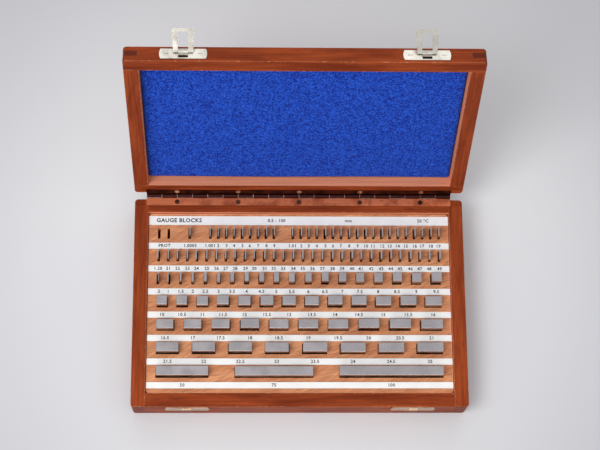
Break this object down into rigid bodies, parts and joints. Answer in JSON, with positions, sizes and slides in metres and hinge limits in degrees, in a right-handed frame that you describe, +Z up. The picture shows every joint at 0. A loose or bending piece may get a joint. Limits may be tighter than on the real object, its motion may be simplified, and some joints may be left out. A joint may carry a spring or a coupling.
{
  "type": "cased gauge block set",
  "caption": "Steel gauge blocks standing in a slotted wooden tray with label strips, in a finger-jointed wooden case with a foam-lined lid, piano hinge and snap latches.",
  "frame": {"origin": "centre of the underside of the case", "axes": "+X to the right seen from the front, +Y to the hinge at the back, +Z up"},
  "size_m": [0.323, 0.3018, 0.2448],
  "materials": {
    "case_wood": "satin lacquer over dark red-brown stained hardwood",
    "board_wood": "satin lacquer over stained plywood",
    "tray_wood": "oiled light red-brown hardwood",
    "label_plastic": "matt white with small dark numbers",
    "gauge_steel": "ground and lapped",
    "foam": "open-cell foam, deep blue",
    "hinge_metal": "bronzed, satin",
    "latch_metal": "nickel plated",
    "pin_steel": "drawn",
    "screw_steel": "nickel plated"
  },
  "bodies": {
    "base": {"base_front_wall": "case_wood", "base_back_wall": "case_wood", "base_left_wall": "case_wood", "base_right_wall": "case_wood", "base_bottom_board": "board_wood", "gauge_tray": "tray_wood", "header_strip": "label_plastic", "label_strip_1": "label_plastic", "label_strip_2": "label_plastic", "label_strip_3": "label_plastic", "label_strip_4": "label_plastic", "label_strip_5": "label_plastic", "label_strip_6": "label_plastic", "label_strip_7": "label_plastic", "gauge_1_0005": "gauge_steel", "gauges_1_001_to_1_009": "gauge_steel", "gauges_1_01_to_1_19": "gauge_steel", "gauges_1_20_to_1_49": "gauge_steel", "gauges_0_5_to_9_5": "gauge_steel", "gauges_10_to_16": "gauge_steel", "gauges_16_5_to_21": "gauge_steel", "gauge_21_5": "gauge_steel", "gauge_22": "gauge_steel", "gauge_22_5": "gauge_steel", "gauge_23": "gauge_steel", "gauge_23_5": "gauge_steel", "gauge_24": "gauge_steel", "gauge_24_5": "gauge_steel", "gauge_25": "gauge_steel", "gauge_50": "gauge_steel", "gauge_75": "gauge_steel", "gauge_100": "gauge_steel", "hinge_leaf_base": "hinge_metal", "hinge_pin": "pin_steel", "hinge_screws_base": "screw_steel", "keeper_screws": "screw_steel", "keeper_left": "latch_metal", "keeper_right": "latch_metal"},
    "lid": {"lid_front_wall": "case_wood", "lid_back_wall": "case_wood", "lid_left_wall": "case_wood", "lid_right_wall": "case_wood", "lid_top_board": "board_wood", "lid_foam_liner": "foam", "hinge_leaf_lid": "hinge_metal", "hinge_screws_lid": "screw_steel", "latch_screws": "screw_steel", "latch_plate_left": "latch_metal", "latch_plate_right": "latch_metal"},
    "hasp_left": {"hasp_left": "latch_metal"},
    "hasp_right": {"hasp_right": "latch_metal"}
  },
  "joints": [
    {"name": "lid_hinge", "type": "hinge", "parent": "base", "child": "lid", "pos_m": [0, 0.1073, 0.03415], "axis": [-1, 0, 0], "range_deg": [-106.4, 0]},
    {"name": "hasp_left_pivot", "type": "hinge", "parent": "lid", "child": "hasp_left", "pos_m": [-0.108, 0.17627, 0.23609], "axis": [-1, 0, 0], "range_deg": [-140, 40]},
    {"name": "hasp_right_pivot", "type": "hinge", "parent": "lid", "child": "hasp_right", "pos_m": [0.108, 0.17627, 0.23609], "axis": [-1, 0, 0], "range_deg": [-140, 40]}
  ]
}
